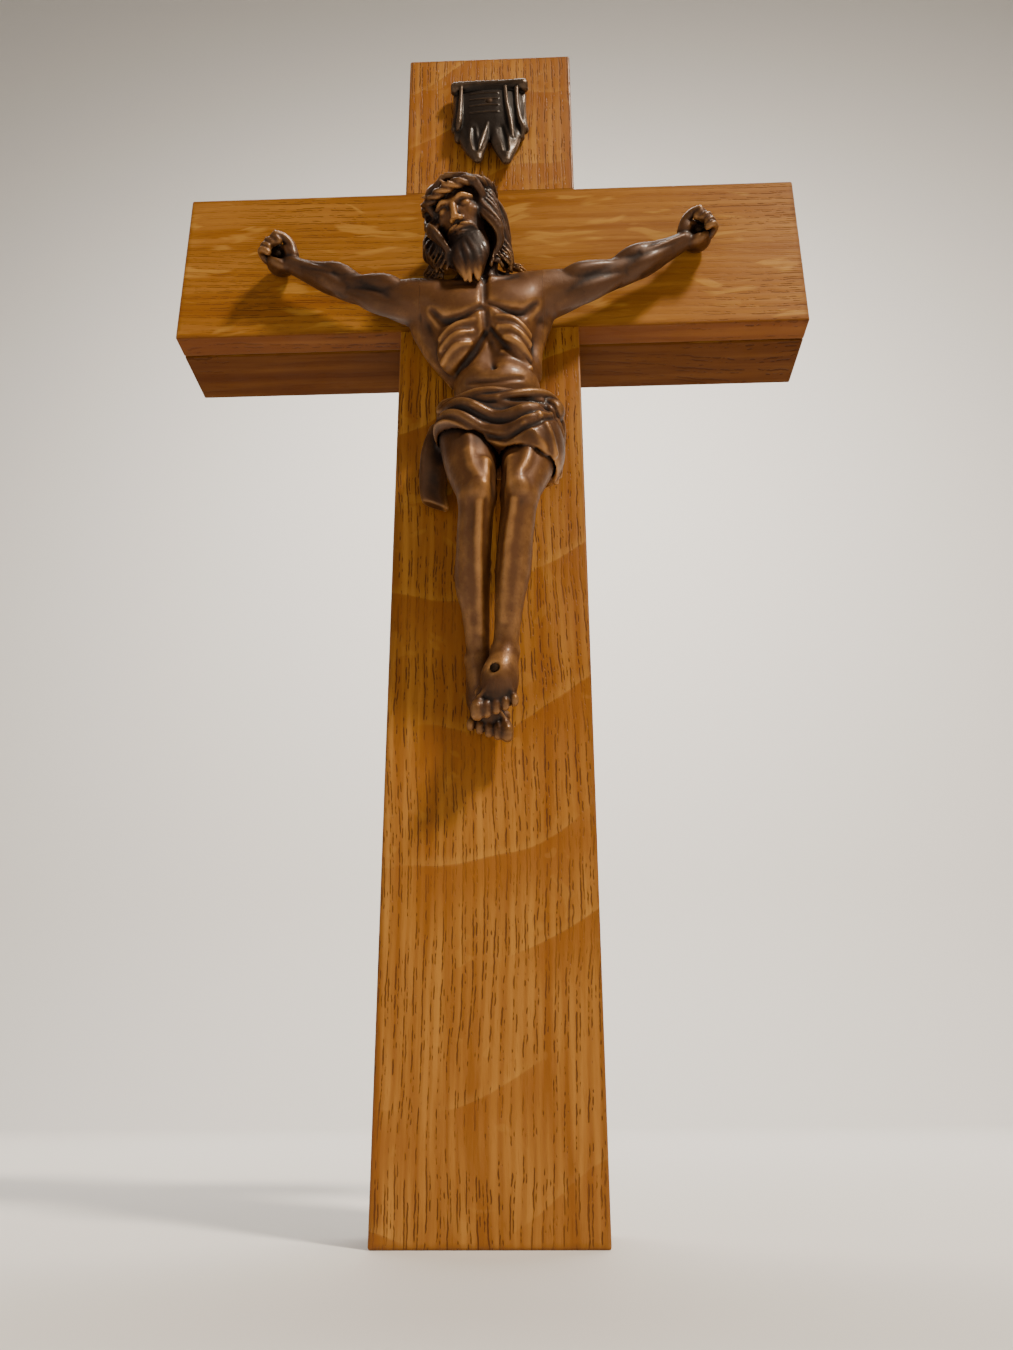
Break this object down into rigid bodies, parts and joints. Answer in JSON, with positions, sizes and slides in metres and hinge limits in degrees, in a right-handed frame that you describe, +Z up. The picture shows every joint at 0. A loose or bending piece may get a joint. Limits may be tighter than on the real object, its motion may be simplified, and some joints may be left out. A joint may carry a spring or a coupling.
{
  "type": "altar cross",
  "caption": "Standing oak sick-call cross: a cross-shaped box with a sliding crucifix cover, candle cups and a standing slot inside.",
  "frame": {"origin": "centre of the foot's outline, on the surface the cross stands on, halfway through the thickness of both oak halves", "axes": "+Z up along the upright, -Y out of the front that carries the figure, +X towards the viewer's right"},
  "size_m": [0.178, 0.0555, 0.334],
  "materials": {
    "oak": "satin varnish",
    "bronze": "bronzed white metal: dark brown patina, satin",
    "dark_bronze": "near-black patina, satin",
    "iron": "blackened",
    "brass": "aged, satin",
    "beeswax": "wax, satin",
    "cotton": "matt",
    "linen": "matt weave",
    "glass": "clear",
    "tin": "brushed"
  },
  "bodies": {
    "base": {"base_upright": "oak", "base_crossbar": "oak", "candle_cup_right": "brass", "candle_cup_left": "brass", "candle_1": "beeswax", "candle_2": "beeswax", "wick_1": "cotton", "wick_2": "cotton", "linen_cloth": "linen", "water_bottle": "glass", "bottle_cap": "tin", "hanger_plate": "brass", "hanger_screw_1": "brass", "hanger_screw_2": "brass"},
    "cover": {"cover_upright": "oak", "cover_crossbar": "oak", "cover_tongue": "oak", "tongue_screw_1": "brass", "tongue_screw_2": "brass", "tongue_screw_3": "brass", "corpus_body": "bronze", "corpus_right_arm": "bronze", "corpus_left_arm": "bronze", "nail_right_hand": "iron", "nail_left_hand": "iron", "nail_feet": "iron", "title_scroll": "dark_bronze", "scroll_pin": "iron"}
  },
  "joints": [
    {"name": "cover_slide", "type": "slide", "parent": "base", "child": "cover", "axis": [0, 0, 1], "range_m": [0, 0.32]}
  ]
}
